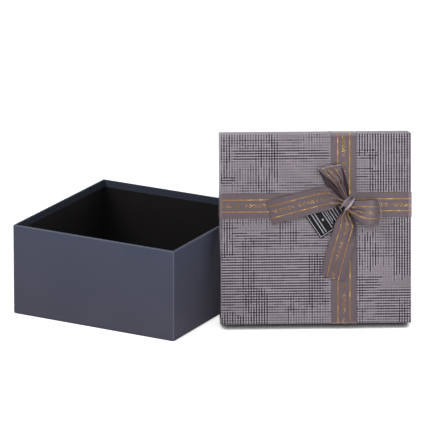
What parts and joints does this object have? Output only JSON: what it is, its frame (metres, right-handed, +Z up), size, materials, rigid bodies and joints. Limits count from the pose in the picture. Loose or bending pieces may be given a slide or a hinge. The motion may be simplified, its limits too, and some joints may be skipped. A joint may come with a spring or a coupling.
{
  "type": "chocolate gift box",
  "caption": "Square gift box for chocolates, its lift-off printed lid leaning beside the open base, dressed with crossed ribbons, a tied bow and a card hang tag.",
  "frame": {"origin": "middle of the base box's underside, which stands on the table", "axes": "+Z up, +X towards the wall that the lid leans at, -Y out of the base's front wall"},
  "size_m": [0.3725, 0.2086, 0.1929],
  "materials": {
    "grey_board": "matte grey board",
    "stay_paper": "matte kraft paper",
    "base_cover_paper": "satin slate blue cover paper with a fine grain",
    "lining_paper": "matte near-black paper",
    "bottom_paper": "matte dark paper",
    "printed_cover_paper": "satin taupe paper printed with a dark crosshatch",
    "ribbon": "taupe satin with metallic gold lines",
    "tag_card": "satin black card with white lines"
  },
  "bodies": {
    "base": {"base_board": "grey_board", "base_corner_stay_1": "stay_paper", "base_corner_stay_2": "stay_paper", "base_corner_stay_3": "stay_paper", "base_corner_stay_4": "stay_paper", "base_wrap": "base_cover_paper", "base_lining": "lining_paper", "base_bottom_sheet": "bottom_paper"},
    "lid": {"lid_board": "grey_board", "lid_corner_stay_1": "stay_paper", "lid_corner_stay_2": "stay_paper", "lid_corner_stay_3": "stay_paper", "lid_corner_stay_4": "stay_paper", "lid_wrap": "printed_cover_paper", "lid_lining": "lining_paper", "ribbon_across": "ribbon", "ribbon_down": "ribbon", "bow_knot": "ribbon", "bow_loop_right": "ribbon", "bow_loop_upper": "ribbon", "bow_tail_left": "ribbon", "bow_tail_down": "ribbon"},
    "tag": {"hang_tag": "tag_card"}
  },
  "joints": [
    {"name": "lid_lift", "type": "slide", "parent": "base", "child": "lid", "axis": [0, 0, 1], "range_m": [0, 0.12]},
    {"name": "tag_swing", "type": "hinge", "parent": "lid", "child": "tag", "pos_m": [0.21338, 0.04527, 0.12425], "axis": [0.5038, -0.8384, 0.2079], "range_deg": [-20, 60]}
  ]
}
